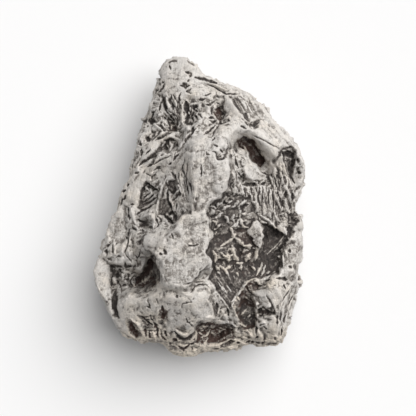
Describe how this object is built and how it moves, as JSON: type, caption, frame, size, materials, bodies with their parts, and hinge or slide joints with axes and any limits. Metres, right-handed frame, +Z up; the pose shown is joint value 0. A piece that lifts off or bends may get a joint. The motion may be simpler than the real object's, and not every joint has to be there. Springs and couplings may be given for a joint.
{
  "type": "iron meteorite",
  "caption": "Palm-sized lump of natural iron with a bright raised plate, a dark ridged basin and thumbprint hollows, lying on its flatter side.",
  "frame": {"origin": "on the resting plane, under the middle of the stone's box", "axes": "+Z up from the resting plane, +Y along the length towards the narrow end, +X to the right of it seen from above"},
  "size_m": [0.0314, 0.045, 0.02],
  "materials": {
    "nickel_iron": "wire-brushed bright on the raised ground, with dark brown patina and rust left in the furrows"
  },
  "bodies": {
    "root": {"meteorite": "nickel_iron"}
  },
  "joints": []
}
